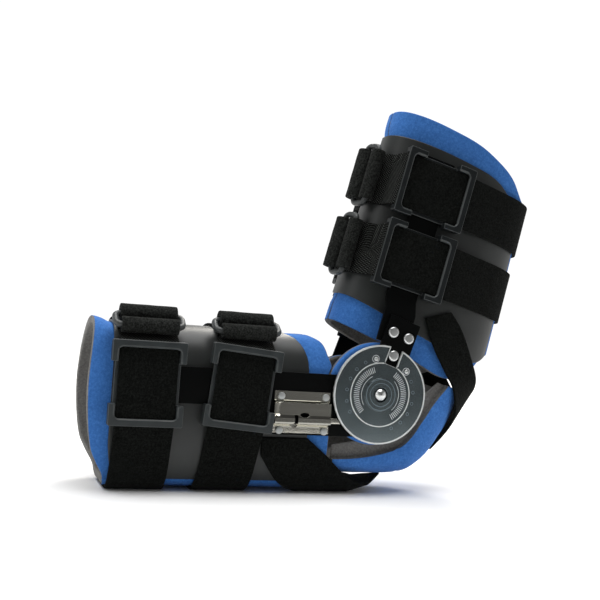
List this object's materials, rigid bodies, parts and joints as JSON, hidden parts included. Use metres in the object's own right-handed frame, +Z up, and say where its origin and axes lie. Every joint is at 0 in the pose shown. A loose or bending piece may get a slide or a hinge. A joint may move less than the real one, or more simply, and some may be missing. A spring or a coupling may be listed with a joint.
{
  "type": "hinged elbow brace",
  "caption": "Hinged range-of-motion elbow brace with blue foam liners, grey plastic cuffs, black straps and steel dial hinges, bent at the elbow",
  "frame": {"origin": "centre of the bounding box on the surface that the brace rests on", "axes": "+X along the forearm from the wrist to the elbow, +Y from the lock side to the plain side, +Z up"},
  "size_m": [0.3404, 0.0968, 0.2908],
  "materials": {
    "foam": "brushed loop fabric over foam, blue outside and grey inside",
    "shell": "dark grey satin sheet",
    "strap": "black loop pile",
    "frame": "dark grey moulded",
    "ring": "grey moulded",
    "bar": "black, satin",
    "steel": "polished"
  },
  "bodies": {
    "forearm": {"forearm_liner": "foam", "forearm_shell_near": "shell", "forearm_shell_far": "shell", "wrist_strap": "strap", "forearm_strap": "strap", "wrist_ring": "ring", "forearm_ring": "ring", "wrist_strap_roll": "strap", "forearm_strap_roll": "strap", "wrist_frame_near": "frame", "wrist_frame_far": "frame", "forearm_frame_near": "frame", "forearm_frame_far": "frame", "forearm_bar_near": "bar", "forearm_bar_far": "bar", "lock_bracket": "steel", "lock_rivet_1": "steel", "lock_rivet_2": "steel", "lock_rivet_3": "steel", "lock_rivet_4": "steel", "condyle_pad_near": "foam", "condyle_pad_far": "foam", "hinge_rivet_near": "steel", "hinge_rivet_far": "steel", "elbow_pad": "foam", "lower_sling": "strap"},
    "upper_arm": {"upper_liner": "foam", "upper_shell_near": "shell", "upper_shell_far": "shell", "upper_strap": "strap", "armpit_strap": "strap", "upper_ring": "ring", "armpit_ring": "ring", "upper_strap_roll": "strap", "armpit_strap_roll": "strap", "upper_frame_near": "frame", "upper_frame_far": "frame", "armpit_frame_near": "frame", "armpit_frame_far": "frame", "upper_plate_near": "bar", "upper_plate_far": "bar", "upper_bar_near": "bar", "upper_bar_far": "bar", "dial_near": "steel", "dial_far": "steel", "notch_rivet_near": "steel", "notch_rivet_far": "steel", "front_rivet_near": "steel", "front_rivet_far": "steel", "back_rivet_near": "steel", "back_rivet_far": "steel", "front_stop_pin": "steel", "back_stop_pin": "steel", "upper_sling": "strap"},
    "lock_bolt": {"lock_bolt": "steel"}
  },
  "joints": [
    {"name": "elbow_hinge", "type": "hinge", "parent": "forearm", "child": "upper_arm", "pos_m": [0.0367, 0, 0.075], "axis": [0, 1, 0], "range_deg": [-20, 72], "deforming": ["elbow_pad", "upper_sling"]},
    {"name": "lock_slide", "type": "slide", "parent": "forearm", "child": "lock_bolt", "axis": [1, 0, 0], "range_m": [-0.006, 0]}
  ]
}
